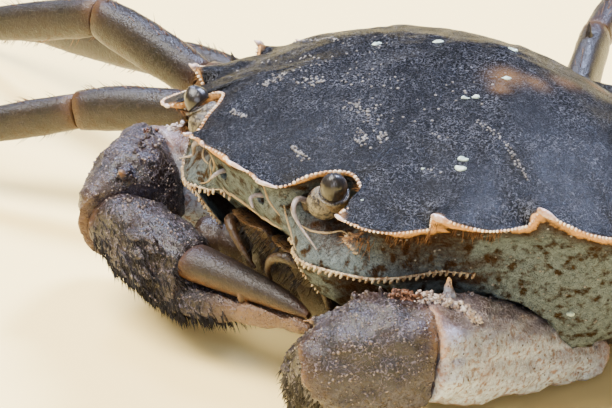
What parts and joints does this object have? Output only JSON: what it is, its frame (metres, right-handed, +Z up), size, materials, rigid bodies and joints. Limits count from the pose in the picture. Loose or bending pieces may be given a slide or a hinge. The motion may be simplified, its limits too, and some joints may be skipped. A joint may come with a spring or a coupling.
{
  "type": "chinese mitten crab",
  "caption": "Whole river crab standing with folded claws: domed toothed shell, raised eyes, feelers, jointed walking legs; a still life-size display model.",
  "frame": {"origin": "on the floor under the centre of the crab's bounding box", "axes": "+Z up, the crab faces -Y, its left side is at +X"},
  "size_m": [0.2152, 0.1412, 0.0332],
  "materials": {
    "shell": "wet dark slate shell with fine granules and cream toothed rim",
    "underside": "pale cream and grey-green plates",
    "limb": "wet brown-grey mottled limb shell",
    "claw_tip": "smooth tan finger",
    "cornea": "glossy grey-brown cornea",
    "feeler": "pinkish jointed feeler"
  },
  "bodies": {
    "root": {"abdomen_base": "underside", "abdomen_flap": "underside", "antenna_left": "feeler", "antenna_right": "feeler", "antennule_left": "feeler", "antennule_right": "feeler", "carapace": "shell", "claw_left_carpus": "limb", "claw_left_coxa": "limb", "claw_left_dactylus": "claw_tip", "claw_left_merus": "limb", "claw_left_palm": "limb", "claw_right_carpus": "limb", "claw_right_coxa": "limb", "claw_right_dactylus": "claw_tip", "claw_right_merus": "limb", "claw_right_palm": "limb", "eye_left": "cornea", "eye_right": "cornea", "eyestalk_left": "underside", "eyestalk_right": "underside", "leg_left_1_carpus": "limb", "leg_left_1_dactylus": "limb", "leg_left_1_merus": "limb", "leg_left_1_propodus": "limb", "leg_left_2_carpus": "limb", "leg_left_2_dactylus": "limb", "leg_left_2_merus": "limb", "leg_left_2_propodus": "limb", "leg_left_3_carpus": "limb", "leg_left_3_dactylus": "limb", "leg_left_3_merus": "limb", "leg_left_3_propodus": "limb", "leg_left_4_carpus": "limb", "leg_left_4_dactylus": "limb", "leg_left_4_merus": "limb", "leg_left_4_propodus": "limb", "leg_right_1_carpus": "limb", "leg_right_1_dactylus": "limb", "leg_right_1_merus": "limb", "leg_right_1_propodus": "limb", "leg_right_2_carpus": "limb", "leg_right_2_dactylus": "limb", "leg_right_2_merus": "limb", "leg_right_2_propodus": "limb", "leg_right_3_carpus": "limb", "leg_right_3_dactylus": "limb", "leg_right_3_merus": "limb", "leg_right_3_propodus": "limb", "leg_right_4_carpus": "limb", "leg_right_4_dactylus": "limb", "leg_right_4_merus": "limb", "leg_right_4_propodus": "limb", "maxilliped_left": "underside", "maxilliped_right": "underside", "thorax": "underside"}
  },
  "joints": []
}
